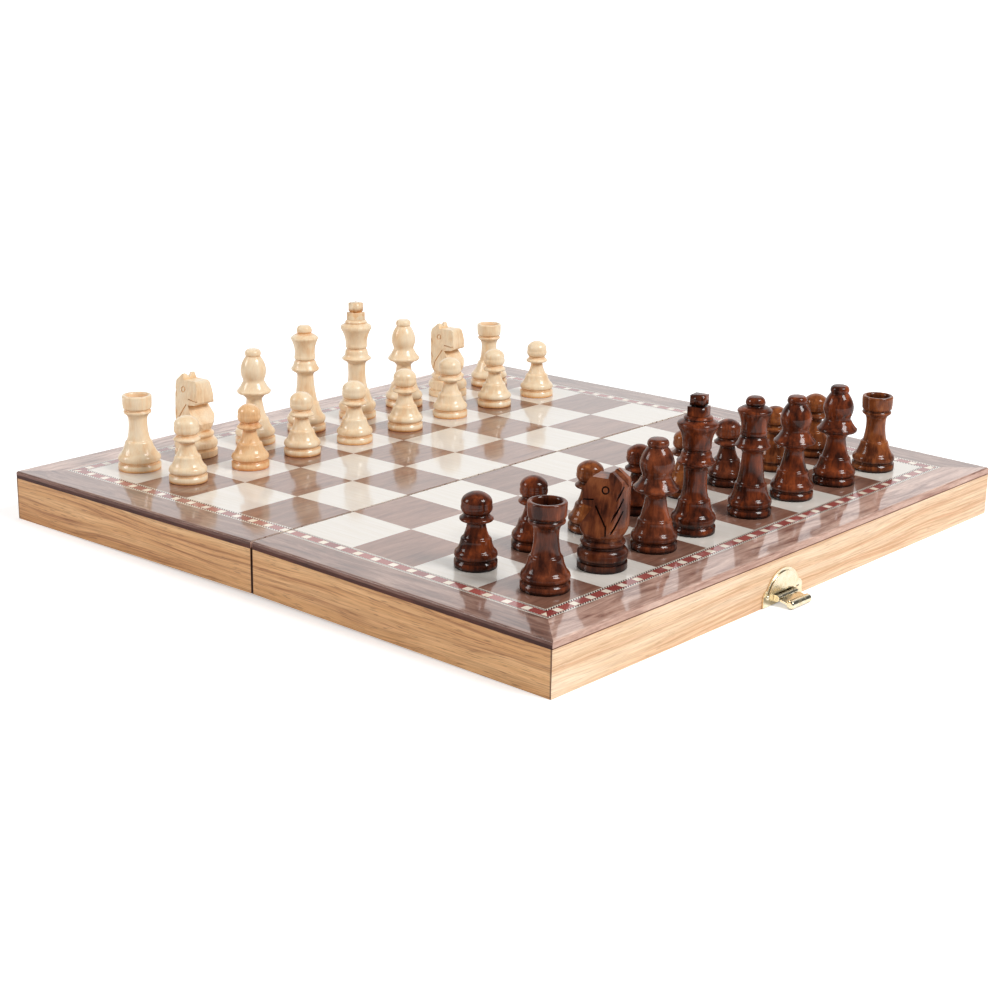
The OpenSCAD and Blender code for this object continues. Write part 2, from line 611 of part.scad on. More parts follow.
module piece_of(kind, slim, tall, blunt) {
    if (kind == "rook") rook(slim, tall);
    if (kind == "knight") knight(slim, tall, blunt);
    if (kind == "king") king(slim, tall);
    if (kind == "pawn") lathe([pawn_r, pawn_h], PAWN_DRAWN, pawn_upper, slim, tall);
    if (kind == "bishop") lathe([bishop_r, bishop_h], BISHOP_DRAWN, bishop_upper, slim, tall);
    if (kind == "queen") lathe([queen_r, queen_h], QUEEN_DRAWN, queen_upper, slim, tall);
}

// The chess piece of that name, standing on its square
module chess_piece(name) {
    p = [for (row = PIECES) if (row[0] == name) row][0];
    leaf(p[2]) color(p[2] < 0 ? DARK_WOOD : LIGHT_WOOD)
        translate([(p[3] - 3.5 + p[5]) * cell_size, -(p[4] + p[6]) * cell_size - inner_y, leaf_h])
            rotate([0, 0, p[7]]) piece_of(p[1], p[8], p[9], p[10]);
}

// ---- the nodes ----

leaf(-1) playing_face();  // front_playing_face
leaf(-1) panel();  // front_panel
leaf(-1) outer_wall(latch_nail_places);  // front_outer_wall
leaf(-1) hinge_wall();  // front_hinge_wall
leaf(-1) mirror([1, 0, 0]) side_wall();  // front_left_wall
leaf(-1) side_wall();  // front_right_wall
leaf(1) playing_face();  // rear_playing_face
leaf(1) panel();  // rear_panel
leaf(1) outer_wall(keeper_nail_places);  // rear_outer_wall
leaf(1) hinge_wall();  // rear_hinge_wall
leaf(1) mirror([1, 0, 0]) side_wall();  // rear_left_wall
leaf(1) side_wall();  // rear_right_wall
leaf(-1) translate([-hinge_x, 0, 0]) hinge_half(true);  // left_hinge_front_plate
leaf(1) translate([-hinge_x, 0, 0]) hinge_half(false);  // left_hinge_rear_plate
leaf(-1) translate([-hinge_x, 0, 0]) hinge_pin();  // left_hinge_pin
leaf(-1) translate([hinge_x, 0, 0]) hinge_half(true);  // right_hinge_front_plate
leaf(1) translate([hinge_x, 0, 0]) hinge_half(false);  // right_hinge_rear_plate
leaf(-1) translate([hinge_x, 0, 0]) hinge_pin();  // right_hinge_pin
leaf(-1) hinge_screws();  // front_hinge_screws
leaf(1) hinge_screws();  // rear_hinge_screws
leaf(-1) latch_plate();
leaf(-1) latch_tongue();
leaf(-1) latch_pin();
leaf(-1) nails(latch_nail_places, latch_t);  // latch_nails
leaf(1) keeper_plate();
leaf(1) nails(keeper_nail_places, latch_t);  // keeper_nails
chess_piece("dark_rook_1");  // dark_rook_1
chess_piece("dark_knight_1");  // dark_knight_1
chess_piece("dark_bishop_1");  // dark_bishop_1
chess_piece("dark_king");  // dark_king
chess_piece("dark_queen");  // dark_queen
chess_piece("dark_bishop_2");  // dark_bishop_2
chess_piece("dark_bishop_3");  // dark_bishop_3
chess_piece("dark_rook_2");  // dark_rook_2
chess_piece("dark_pawn_1");  // dark_pawn_1
chess_piece("dark_pawn_2");  // dark_pawn_2
chess_piece("dark_pawn_3");  // dark_pawn_3
chess_piece("dark_pawn_4");  // dark_pawn_4
chess_piece("dark_pawn_5");  // dark_pawn_5
chess_piece("dark_pawn_6");  // dark_pawn_6
chess_piece("dark_pawn_7");  // dark_pawn_7
chess_piece("dark_pawn_8");  // dark_pawn_8
chess_piece("light_rook_1");  // light_rook_1
chess_piece("light_knight_1");  // light_knight_1
chess_piece("light_bishop_1");  // light_bishop_1
chess_piece("light_queen");  // light_queen
chess_piece("light_king");  // light_king
chess_piece("light_bishop_2");  // light_bishop_2
chess_piece("light_knight_2");  // light_knight_2
chess_piece("light_rook_2");  // light_rook_2
chess_piece("light_pawn_1");  // light_pawn_1
chess_piece("light_pawn_2");  // light_pawn_2
chess_piece("light_pawn_3");  // light_pawn_3
chess_piece("light_pawn_4");  // light_pawn_4
chess_piece("light_pawn_5");  // light_pawn_5
chess_piece("light_pawn_6");  // light_pawn_6
chess_piece("light_pawn_7");  // light_pawn_7
chess_piece("light_pawn_8");  // light_pawn_8
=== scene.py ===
"""Looks of a folding chess box, opened flat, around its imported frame.

The frame's nodes keep their shape and get bevelled edges and wood or brass materials.
All lengths are metres in the part's own frame: X along the fold, -Y the catch side, Z up.
"""

import json
import math

import bmesh
import bpy
from mathutils import Matrix, Vector


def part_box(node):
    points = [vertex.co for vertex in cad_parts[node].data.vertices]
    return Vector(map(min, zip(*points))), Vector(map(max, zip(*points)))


MM = 0.001

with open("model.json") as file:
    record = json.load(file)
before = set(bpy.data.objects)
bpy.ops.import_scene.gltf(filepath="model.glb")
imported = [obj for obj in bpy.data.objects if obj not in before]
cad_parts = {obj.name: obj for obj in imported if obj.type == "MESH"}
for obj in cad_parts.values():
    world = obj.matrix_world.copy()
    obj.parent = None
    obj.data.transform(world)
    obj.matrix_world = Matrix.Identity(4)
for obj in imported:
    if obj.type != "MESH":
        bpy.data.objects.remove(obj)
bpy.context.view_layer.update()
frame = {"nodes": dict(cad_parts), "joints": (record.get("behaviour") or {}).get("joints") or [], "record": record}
nodes = frame["nodes"]
joints = {j["name"]: j for j in frame["joints"]}

# ---- sizes that follow the frame ----

FOLD_Y = joints["box_fold"]["pos_m"][1]
AXIS_Z = joints["box_fold"]["pos_m"][2]
HALF_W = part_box("front_panel")[1][0]
OUTER_Y = 170 * MM
LEAF_H = 24 * MM
PANEL_T = 3.6 * MM
HALF_GAP = 0.3 * MM
WALL_T = 10 * MM
# The leaves lean this much, because the fold stands proud of the table
TILT = math.asin(AXIS_Z / OUTER_Y)
RIDGE_Z = AXIS_Z + LEAF_H
CELL = 36.2 * MM
# The squares start this far from the fold line, because the leaves lean away from it
FIRST_SQUARE = HALF_GAP + LEAF_H * math.sin(TILT)


# ---- a short way to write node trees ----


class Tree:
    """Short calls that add nodes to a tree. Values may be numbers, tuples or output sockets."""

    def __init__(self, tree):
        self.tree = tree

    def add(self, kind, **properties):
        node = self.tree.nodes.new(kind)
        for key, value in properties.items():
            setattr(node, key, value)
        return node

    def feed(self, socket, value):
        if isinstance(value, bpy.types.NodeSocket):
            self.tree.links.new(value, socket)
        else:
            socket.default_value = value

    def math(self, operation, *values):
        node = self.add("ShaderNodeMath", operation=operation)
        for socket, value in zip(node.inputs, values):
            self.feed(socket, value)
        return node.outputs[0]

    def position(self):
        return self.add("ShaderNodeTexCoord").outputs["Object"]

    def axes(self, vector):
        node = self.add("ShaderNodeSeparateXYZ")
        self.feed(node.inputs[0], vector)
        return node.outputs[0], node.outputs[1], node.outputs[2]

    def join(self, x, y, z):
        node = self.add("ShaderNodeCombineXYZ")
        for socket, value in zip(node.inputs, (x, y, z)):
            self.feed(socket, value)
        return node.outputs[0]

    def scaled(self, vector, scale, offset=(0, 0, 0)):
        node = self.add("ShaderNodeVectorMath", operation="MULTIPLY_ADD")
        self.feed(node.inputs[0], vector)
        node.inputs[1].default_value = scale
        node.inputs[2].default_value = offset
        return node.outputs[0]

    def noise(self, vector, scale=1.0, detail=2.0, roughness=0.5, distortion=0.0):
        node = self.add("ShaderNodeTexNoise")
        self.feed(node.inputs["Vector"], vector)
        node.inputs["Scale"].default_value = scale
        node.inputs["Detail"].default_value = detail
        node.inputs["Roughness"].default_value = roughness
        node.inputs["Distortion"].default_value = distortion
        return node.outputs["Fac"]

    def ramp(self, factor, *stops):
        node = self.add("ShaderNodeValToRGB")
        self.feed(node.inputs[0], factor)
        elements = node.color_ramp.elements
        while len(elements) < len(stops):
            elements.new(0.5)
        for element, (place, colour) in zip(elements, stops):
            element.position = place
            element.color = (*colour, 1)
        return node.outputs[0]

    def span(self, value, low, high, to_low=0.0, to_high=1.0):
        """Goes smoothly from to_low to to_high as the value goes from low to high."""
        node = self.add("ShaderNodeMapRange", interpolation_type="SMOOTHSTEP")
        for socket, number in zip(node.inputs, (value, low, high, to_low, to_high)):
            self.feed(socket, number)
        return node.outputs[0]

    def mix(self, factor, a, b, blend="MIX"):
        node = self.add("ShaderNodeMix", data_type="RGBA", blend_type=blend)
        self.feed(node.inputs[0], factor)
        for socket, value in zip((node.inputs[6], node.inputs[7]), (a, b)):
            if isinstance(value, tuple) and len(value) == 3:
                value = (*value, 1)
            self.feed(socket, value)
        return node.outputs[2]

    def mix_value(self, factor, a, b):
        node = self.add("ShaderNodeMix", data_type="FLOAT")
        for place, value in ((0, factor), (2, a), (3, b)):
            self.feed(node.inputs[place], value)
        return node.outputs[0]

    def hollow(self, distance):
        """1 in a groove or crease narrower than the distance, 0 on open surfaces."""
        node = self.add("ShaderNodeAmbientOcclusion", samples=8)
        node.inputs["Distance"].default_value = distance
        return self.math("SUBTRACT", 1.0, node.outputs["AO"])

    def bump(self, height, strength, distance):
        node = self.add("ShaderNodeBump")
        node.inputs["Strength"].default_value = strength
        node.inputs["Distance"].default_value = distance
        self.feed(node.inputs["Height"], height)
        return node.outputs[0]


class Graph(Tree):
    """One material's node tree, with its shader."""

    def __init__(self, name):
        self.material = bpy.data.materials.new(name)
        self.material.use_nodes = True
        super().__init__(self.material.node_tree)
        self.tree.nodes.clear()
        self.shader = self.add("ShaderNodeBsdfPrincipled")
        output = self.add("ShaderNodeOutputMaterial")
        self.tree.links.new(self.shader.outputs[0], output.inputs["Surface"])

    def set(self, **inputs):
        """Feeds the shader's inputs, whose names are written with _ for a space."""
        for key, value in inputs.items():
            self.feed(self.shader.inputs[key.replace("_", " ")], value)


def srgb(red, green, blue):
    """A colour given as 0 to 255 as the screen shows it, in Blender's linear values."""

    def linear(v):
        v /= 255
        return v / 12.92 if v <= 0.04045 else ((v + 0.055) / 1.055) ** 2.4

    return linear(red), linear(green), linear(blue)


def tones(*stops):
    """Ramp stops, each given as its place and then its colour as the screen shows it."""
    return tuple((place, srgb(*colour)) for place, *colour in stops)


# ---- wood ----


def stretch_along(g, place, along, across, lengthways, seed):
    """Noise coordinates drawn out along one axis, so that noise turns into grain."""
    scale = [across, across, across]
    scale[along] = lengthways
    return g.scaled(place, tuple(scale), (seed, seed * 0.37, seed * 1.31))


def oak(name, along, seed, light, mid, dark, line, contrast):
    """Oak: wandering growth lines, dense fine fibres, short pores, painted shade at the fold and dark lines at the
    corner joints.
    """
    g = Graph(name)
    place = g.position()
    wander = g.noise(stretch_along(g, place, along, 60, 9, seed), detail=2)
    # The growth lines drift up and down by a few millimetres along the board
    drift = g.math("MULTIPLY", g.math("SUBTRACT", wander, 0.5), 8 * MM)
    shift = g.add("ShaderNodeVectorMath", operation="ADD")
    g.feed(shift.inputs[0], place)
    g.feed(shift.inputs[1], g.join(0, 0, drift))
    bent = shift.outputs[0]
    broad = g.noise(stretch_along(g, bent, along, 170, 6, seed + 1), detail=3, roughness=0.55)
    lines = g.noise(stretch_along(g, bent, along, 760, 8, seed + 2), detail=4, roughness=0.72)
    fibres = g.noise(stretch_along(g, bent, along, 1700, 45, seed + 3), detail=3, roughness=0.7)
    pores = g.noise(stretch_along(g, bent, along, 2100, 130, seed + 4), detail=1, roughness=0.5)
    base = g.ramp(broad, (0.34, light), (0.52, mid), (0.7, dark))
    # Late wood: dark lines, denser where the broad figure is dark
    late = g.math("MULTIPLY", g.span(lines, 0.46, 0.64, 0.0, contrast),
                  g.span(broad, 0.36, 0.6, 0.5, 1.0))
    colour = g.mix(late, base, line)
    fibre_tone = g.ramp(fibres, (0.36, (1.1, 1.09, 1.06)), (0.64, (0.84, 0.77, 0.68)))
    colour = g.mix(1.0, colour, fibre_tone, "MULTIPLY")
    pore = g.span(pores, 0.62, 0.72)
    colour = g.mix(g.math("MULTIPLY", pore, 0.6 * contrast), colour, tuple(c * 0.6 for c in line))
    # Painted shade darkens the wall ends at the fold, where the leaves part, and on the side walls a dark joint
    # line marks the outer corners
    x, y, _ = g.axes(place)
    from_fold = g.math("ABSOLUTE", g.math("SUBTRACT", y, FOLD_Y))
    near_end = g.span(g.math("ABSOLUTE", x), HALF_W - 8 * MM, HALF_W - 1 * MM, 0.2, 1.0)
    fold_shade_and_joint = g.math("MULTIPLY", g.span(from_fold, 0.5 * MM, 1.0 * MM, 1.0, 0.0), near_end)
    if along == 1:
        corner = OUTER_Y * math.cos(TILT) - LEAF_H * math.sin(TILT) / 2
        at_corner = g.span(from_fold, corner - 0.9 * MM, corner - 0.2 * MM, 0.0, 0.8)
        fold_shade_and_joint = g.math("MAXIMUM", fold_shade_and_joint, at_corner)
    # Painted shade at the fold and the dark corner joint lines both take this dark brown
    colour = g.mix(fold_shade_and_joint, colour, srgb(74, 38, 22))
    height = g.math("SUBTRACT", g.math("MULTIPLY", fibres, 0.4), pore)
    g.set(Base_Color=colour, Roughness=g.span(fibres, 0.3, 0.7, 0.42, 0.56),
          Normal=g.bump(height, 0.2, 0.15 * MM), Coat_Weight=0.2, Coat_Roughness=0.3)
    return g.material


def veneer(g, along, seed, stops):
    """Colour of a plain dark veneer: short flecks on a soft figure along one axis."""
    place = g.position()
    figure = g.noise(stretch_along(g, place, along, 240, 34, seed),
                     detail=4, roughness=0.62, distortion=0.6)
    flecks = g.noise(stretch_along(g, place, along, 1300, 260, seed), detail=3, roughness=0.7)
    fleck_tone = g.ramp(flecks, (0.3, (1.1, 1.1, 1.1)), (0.7, (0.86, 0.84, 0.84)))
    return g.mix(1.0, g.ramp(figure, *stops), fleck_tone, "MULTIPLY")


WALNUT = tones((0.28, 157, 118, 100), (0.50, 138, 99, 82), (0.72, 112, 75, 60))
MARGIN_FRONT = tones((0.32, 226, 192, 174), (0.50, 188, 150, 134), (0.66, 130, 90, 76))
MARGIN_SIDE = tones((0.32, 172, 138, 122), (0.50, 136, 101, 87), (0.68, 98, 67, 56))

# The border's parts, by distance outside the squares
TICKS_IN, BAR_IN, BLOCK_IN, BLOCK_OUT, BAR_OUT, TICKS_OUT, LINE_OUT = (
    v * MM for v in (0.4, 1.5, 2.1, 5.7, 6.2, 7.2, 7.6))
# The cream blocks' pitch and first place differ a little between the sides and the ends
PITCH_SIDE, PITCH_END, PITCH = 10.56 * MM, 10.32 * MM, 10.4 * MM
START_SIDE, START_END = 1.2 * MM, 2.6 * MM
# Half a block's length as a share of the pitch
HALF_BLOCK = 0.17
# The dotted lines' and the red bar's hatching: half the distance between two lines, and half
# a line's width
TICK, HATCH = (0.78 * MM, 0.46 * MM), (0.5 * MM, 0.16 * MM)


def playing_face():
    """Inlaid squares, the red and cream border between dotted lines, and a walnut margin."""
    g = Graph("inlaid_face")
    x, y, _ = g.axes(g.position())
    y = g.math("SUBTRACT", y, FOLD_Y)
    side = g.math("SIGN", y)
    away = g.math("SUBTRACT", g.math("ABSOLUTE", y), FIRST_SQUARE)
    across = g.math("ABSOLUTE", x)

    # Squares: file and row numbers, and whether their sum is even
    file = g.math("FLOOR", g.math("DIVIDE", x, CELL))
    row = g.math("FLOOR", g.math("DIVIDE", g.math("MULTIPLY", away, side), CELL))
    odd = g.math("FLOORED_MODULO", g.math("ADD", file, row), 2.0)
    walnut = veneer(g, 0, 3.1, WALNUT)
    cream_noise = g.noise(g.scaled(g.position(), (700, 30, 700)), detail=3)
    cream = g.ramp(cream_noise, (0.35, srgb(238, 232, 224)), (0.7, srgb(232, 224, 212)))
    tone = g.noise(g.join(file, row, 0.5), scale=7.31, detail=0)
    square_tone = g.ramp(tone, (0.3, (0.92, 0.9, 0.89)), (0.7, (1.1, 1.08, 1.06)))
    squares = g.mix(odd, g.mix(1.0, walnut, square_tone, "MULTIPLY"), cream)

    # Border: distance outside the squares, and the run along the nearer side
    beyond_x = g.math("SUBTRACT", across, 4 * CELL)
    beyond_y = g.math("SUBTRACT", away, 4 * CELL)
    out = g.math("MAXIMUM", beyond_x, beyond_y)
    on_side = g.math("GREATER_THAN", beyond_x, beyond_y)
    run_side = g.math("DIVIDE", g.math("SUBTRACT", away, START_SIDE), PITCH_SIDE)
    run_end = g.math("DIVIDE", g.math("SUBTRACT", x, START_END), PITCH_END)
    run = g.mix_value(on_side, run_end, run_side)

    def stripe(low, high):
        return g.math("MULTIPLY", g.math("GREATER_THAN", out, low), g.math("LESS_THAN", out, high))

    def slanted(half_pitch, half_width):
        """Slanted lines across the border: 1 on a line and 0 between them."""
        slant = g.math("ADD", g.math("MULTIPLY", run, PITCH), out)
        return g.math("LESS_THAN", g.math("PINGPONG", slant, half_pitch), half_width)

    number = g.math("FLOOR", g.math("ADD", run, 0.5))
    block = g.math("MULTIPLY", g.math("LESS_THAN", g.math("PINGPONG", run, 0.5), HALF_BLOCK),
                   stripe(BLOCK_IN, BLOCK_OUT))
    piece_of_bar = g.math("MULTIPLY", g.math("FLOOR", run), 1.7)
    red_tone = g.noise(g.join(piece_of_bar, on_side, 3.0), scale=5.7, detail=0)
    red = g.ramp(red_tone, (0.3, srgb(146, 56, 52)), (0.7, srgb(182, 92, 84)))
    red = g.mix(g.math("MULTIPLY", slanted(*HATCH), 0.45), red, srgb(70, 28, 28))
    cream_tone = g.noise(g.join(number, on_side, 7.0), scale=3.3, detail=0)
    block_cream = g.ramp(cream_tone, *tones((0.3, 244, 232, 208), (0.7, 252, 242, 226)))
    bar = g.mix(block, red, block_cream)
    ticks = g.mix(slanted(*TICK), srgb(246, 236, 222), srgb(12, 6, 6))
    margin = g.mix(on_side, veneer(g, 0, 2.3, MARGIN_FRONT), veneer(g, 1, 4.9, MARGIN_SIDE))
    thin_line = srgb(226, 214, 198)

    colour = squares
    for low, high, paint in (
        (0, 0.5 * MM, thin_line),
        (TICKS_IN, BAR_IN, ticks),
        (BAR_IN, BAR_OUT, bar),
        (BAR_OUT, TICKS_OUT, ticks),
        (TICKS_OUT, LINE_OUT, thin_line),
        (LINE_OUT, 60 * MM, margin),
    ):
        colour = g.mix(stripe(low, high), colour, paint)
    # Along the fold the veneer's edge is a little worn, with a few dark chips, and its very edge is painted pale
    # as painted light against the shade in the gap
    edge = g.math("SUBTRACT", g.math("ABSOLUTE", y), HALF_GAP)
    chips = g.noise(g.position(), scale=420, detail=2)
    edge_band = g.math("LESS_THAN", edge, g.span(chips, 0.4, 0.7, 0.3 * MM, 0.8 * MM))
    wear = g.ramp(chips, (0.4, (1.0, 0.98, 0.95)), (0.6, (0.9, 0.82, 0.75)))
    wear_and_painted_light = g.mix(1.0, colour, wear, "MULTIPLY")
    # Painted light: the veneer's very edge is painted pale, against the shade in the gap at the fold
    wear_and_painted_light = g.mix(g.math("LESS_THAN", edge, 0.28 * MM), wear_and_painted_light, srgb(226, 210, 194))
    wear_and_painted_light = g.mix(g.math("GREATER_THAN", chips, 0.64), wear_and_painted_light, srgb(122, 80, 62))
    colour = g.mix(edge_band, colour, wear_and_painted_light)

    ripple = g.noise(g.position(), scale=60, detail=2)
    g.set(Base_Color=colour, Roughness=0.45, Specular_IOR_Level=0.3, Coat_Weight=1.0,
          Coat_Roughness=0.08, Coat_IOR=1.65, Coat_Normal=g.bump(ripple, 0.05, 0.3 * MM))
    return g.material


def stained(name, seed, stops, groove, depth, streaks, coat, coat_roughness,
            specular=0.15, foot=None):
    """Glossy turned wood: upright grain, a cloudy stain, and darker grooves and hollows.

    groove is the painted shade that a groove's colour is multiplied by, depth how much of that painted shade a
    wide hollow gets, and foot what the colour below a knight's neck is multiplied by.
    """
    g = Graph(name)
    place = g.position()
    figure = g.noise(stretch_along(g, place, 2, 420, 60, seed),
                     detail=4, roughness=0.65, distortion=0.5)
    fibres = g.noise(stretch_along(g, place, 2, 2200, 200, seed), detail=3, roughness=0.65)
    clouds = g.noise(g.scaled(place, (105, 105, 85), (seed, 0, 0)), detail=2, roughness=0.6)
    mottle = g.math("ADD", g.math("MULTIPLY", figure, 0.45), g.math("MULTIPLY", clouds, 0.55))
    low = 1 - streaks
    fibre_tone = g.ramp(fibres, (0.3, (1 + streaks,) * 3), (0.7, (low, low ** 1.2, low ** 1.4)))
    colour = g.mix(1.0, g.ramp(mottle, *stops), fibre_tone, "MULTIPLY")
    if foot:
        # The turned foot took more stain than the carved head
        _, _, z = g.axes(place)
        low_part = g.span(z, RIDGE_Z + 10 * MM, RIDGE_Z + 14 * MM, 1.0, 0.0)
        colour = g.mix(low_part, colour, foot, "MULTIPLY")
    # Painted shade: ambient occlusion finds grooves (near) and wide hollows (wide) and darkens the colour there;
    # on the dark pieces it also stands for stain gathered in the grooves
    near = g.span(g.hollow(2.4 * MM), 0.08, 0.34)
    wide = g.span(g.hollow(8 * MM), 0.08, 0.62)
    shade = g.math("MAXIMUM", near, g.math("MULTIPLY", wide, depth))
    colour = g.mix(shade, colour, groove, "MULTIPLY")
    g.set(Base_Color=colour, Roughness=0.45, Specular_IOR_Level=specular, Coat_Weight=coat,
          Coat_Roughness=coat_roughness, Coat_Normal=g.bump(fibres, 0.03, 0.1 * MM))
    return g.material


def brass():
    """Polished brass, a little cloudy and darker in its creases."""
    g = Graph("brass")
    cloud = g.noise(g.position(), scale=300, detail=3)
    colour = g.ramp(cloud, (0.3, srgb(255, 248, 226)), (0.7, srgb(250, 234, 196)))
    colour = g.mix(g.span(g.hollow(1.2 * MM), 0.2, 0.8), colour, srgb(150, 118, 70), "MULTIPLY")
    g.set(Base_Color=colour, Metallic=1.0, Roughness=g.span(cloud, 0.3, 0.7, 0.16, 0.3))
    return g.material


def board_core():
    """Edges and inside of the top board: pinkish walnut strips front and rear, dark ends."""
    g = Graph("board_core")
    strip = veneer(g, 0, 5.3, tones((0.3, 220, 188, 172), (0.5, 202, 166, 150), (0.7, 168, 128, 113)))
    nx, _, nz = g.axes(g.add("ShaderNodeNewGeometry").outputs["True Normal"])
    x, y, z = g.axes(g.position())
    # How far a point lies below the top of its leaning leaf
    slope = g.math("MULTIPLY", g.math("ABSOLUTE", g.math("SUBTRACT", y, FOLD_Y)), math.tan(TILT))
    below = g.math("SUBTRACT", g.math("SUBTRACT", RIDGE_Z, slope), z)
    # A dark line runs along the strip's lowest part, where the board meets the wall
    joint_line = g.span(below, PANEL_T - 0.7 * MM, PANEL_T - 0.4 * MM)
    strip = g.mix(joint_line, strip, srgb(104, 58, 40))
    # On the ends the veneer wraps over the upper edge and leaves the dark board bare below it; the lighter upper
    # band also stands in for light on the rounded edge, as painted light
    ragged = g.math("MULTIPLY", g.noise(g.position(), scale=140, detail=2), 0.5 * MM)
    wrap_and_lit_top = g.span(g.math("ADD", below, ragged), 1.9 * MM, 2.3 * MM)
    upper = veneer(g, 1, 9.1, tones((0.3, 146, 110, 98), (0.5, 120, 86, 76), (0.72, 88, 58, 50)))
    lower = veneer(g, 1, 3.3, tones((0.3, 98, 52, 38), (0.5, 74, 34, 24), (0.72, 48, 20, 14)))
    ends = g.mix(wrap_and_lit_top, upper, lower)
    colour = g.mix(g.math("GREATER_THAN", g.math("ABSOLUTE", nx), 0.6), strip, ends)
    colour = g.mix(g.math("LESS_THAN", nz, -0.6), colour, inside_layout(g, x, y))
    g.set(Base_Color=colour, Roughness=0.45, Specular_IOR_Level=0.2, Coat_Weight=0.15,
          Coat_Roughness=0.25)
    return g.material


def inside_layout(g, x, y):
    """A plain backgammon layout on the tray floors: twelve long points a side on pale veneer."""
    inner_w, inner_l, bar, point_h = 312 * MM, 150 * MM, 14 * MM, 120 * MM
    pale = veneer(g, 1, 2.9, tones((0.3, 226, 196, 156), (0.5, 214, 182, 140), (0.72, 196, 160, 118)))
    dark = veneer(g, 1, 6.1, tones((0.3, 120, 70, 48), (0.5, 100, 56, 40), (0.72, 80, 42, 30)))
    red = veneer(g, 1, 4.3, tones((0.3, 170, 84, 60), (0.5, 154, 70, 50), (0.72, 134, 56, 42)))
    point_w = (inner_w - bar) / 12
    along = g.math("SUBTRACT", g.math("ABSOLUTE", x), bar / 2)
    column = g.math("DIVIDE", along, point_w)
    centre = g.math("ABSOLUTE", g.math("SUBTRACT", g.math("FRACT", column), 0.5))
    away = g.math("SUBTRACT", g.math("ABSOLUTE", g.math("SUBTRACT", y, FOLD_Y)), WALL_T)
    # The points stand on the outer wall and narrow towards the fold
    height = g.math("DIVIDE", g.math("SUBTRACT", inner_l, away), point_h)
    inside = g.math("LESS_THAN", centre, g.math("MULTIPLY", g.math("SUBTRACT", 1.0, height), 0.46))
    inside = g.math("MULTIPLY", inside, g.math("GREATER_THAN", along, 0.0))
    even = g.math("FLOORED_MODULO", g.math("FLOOR", column), 2.0)
    colour = g.mix(inside, pale, g.mix(even, dark, red))
    return g.mix(g.math("LESS_THAN", along, 0.0), colour, dark)


# Painted shade: what the colour in a dark piece's grooves and hollows is multiplied by
GROOVE_SHADE = (0.09, 0.05, 0.04)
material_of = {
    "inlaid_face": playing_face(),
    "board_core": board_core(),
    "brass": brass(),
    "pale_wood": stained(
        "pale_wood", 4.4, tones((0.36, 255, 236, 206), (0.5, 253, 228, 192), (0.62, 246, 210, 166)),
        groove=(0.84, 0.54, 0.3), depth=0.45, streaks=0.05, coat=0.8, coat_roughness=0.16),
    "pale_carved": stained(
        "pale_carved", 7.2, tones((0.36, 255, 236, 206), (0.5, 252, 226, 190), (0.62, 242, 206, 162)),
        groove=(0.95, 0.84, 0.7), depth=0.45, streaks=0.08, coat=0.6, coat_roughness=0.2),
    "tan_wood": stained(
        "tan_wood", 6.6, tones((0.36, 252, 214, 168), (0.5, 244, 196, 144), (0.62, 226, 170, 116)),
        groove=(0.8, 0.5, 0.3), depth=0.45, streaks=0.07, coat=0.8, coat_roughness=0.16),
}
# The dark army was stained by hand: some pieces took more of it than others
deep_stain = stained(
    "dark_stain", 2.2, tones((0.38, 138, 66, 32), (0.5, 96, 43, 22), (0.61, 50, 21, 12)),
    GROOVE_SHADE, depth=0.85, streaks=0.16, coat=0.55, coat_roughness=0.09, specular=0.04)
mid_stain = stained(
    "dark_stain_mid", 3.9, tones((0.38, 140, 72, 42), (0.5, 100, 49, 29), (0.61, 58, 26, 17)),
    GROOVE_SHADE, depth=0.85, streaks=0.16, coat=0.55, coat_roughness=0.1, specular=0.04)
thin_stain = stained(
    "dark_stain_thin", 5.7, tones((0.38, 168, 100, 52), (0.5, 130, 70, 36), (0.61, 80, 39, 21)),
    GROOVE_SHADE, depth=0.85, streaks=0.16, coat=0.55, coat_roughness=0.1, specular=0.04)
carved_stain = stained(
    "dark_stain_matt", 8.1, tones((0.38, 146, 84, 50), (0.5, 108, 56, 34), (0.6, 64, 30, 20)),
    GROOVE_SHADE, depth=0.8, streaks=0.14, coat=0.5, coat_roughness=0.14, specular=0.06,
    foot=(0.6, 0.52, 0.5))
stain_of = {
    "dark_rook_1": mid_stain, "dark_bishop_1": mid_stain, "dark_pawn_6": mid_stain,
    "dark_rook_2": thin_stain, "dark_pawn_3": thin_stain, "dark_pawn_5": thin_stain,
    "dark_pawn_7": thin_stain, "dark_pawn_8": thin_stain,
}
# Two copies of one oak with the grain along each wall: the front wall's is painted lighter and paler as painted
# light from the front lamp, the sides' darker as painted shade
oak_side = oak("oak_side", 1, 8.3, light=srgb(236, 190, 138), mid=srgb(222, 170, 116),
               dark=srgb(204, 148, 94), line=srgb(146, 82, 38), contrast=0.78)
oak_front = oak("oak_front", 0, 1.7, light=srgb(247, 223, 196), mid=srgb(241, 210, 176),
                dark=srgb(230, 189, 149), line=srgb(198, 136, 90), contrast=0.5)


# ---- frame nodes: soft edges and materials ----

slot_of = {s["node"]: s["material_slot"] for s in frame["record"]["subparts"]}

# How far each slot's edges are rounded; the turned pieces have their soft edges already
BEVEL = {"oak": 0.3 * MM, "brass": 0.08 * MM, "inlaid_face": 0.2 * MM, "board_core": 0.2 * MM}
CARVED_BEVEL = 0.2 * MM
# Edges sharper than this many degrees stay sharp
SHARP, SHARP_CARVED = 40, 26


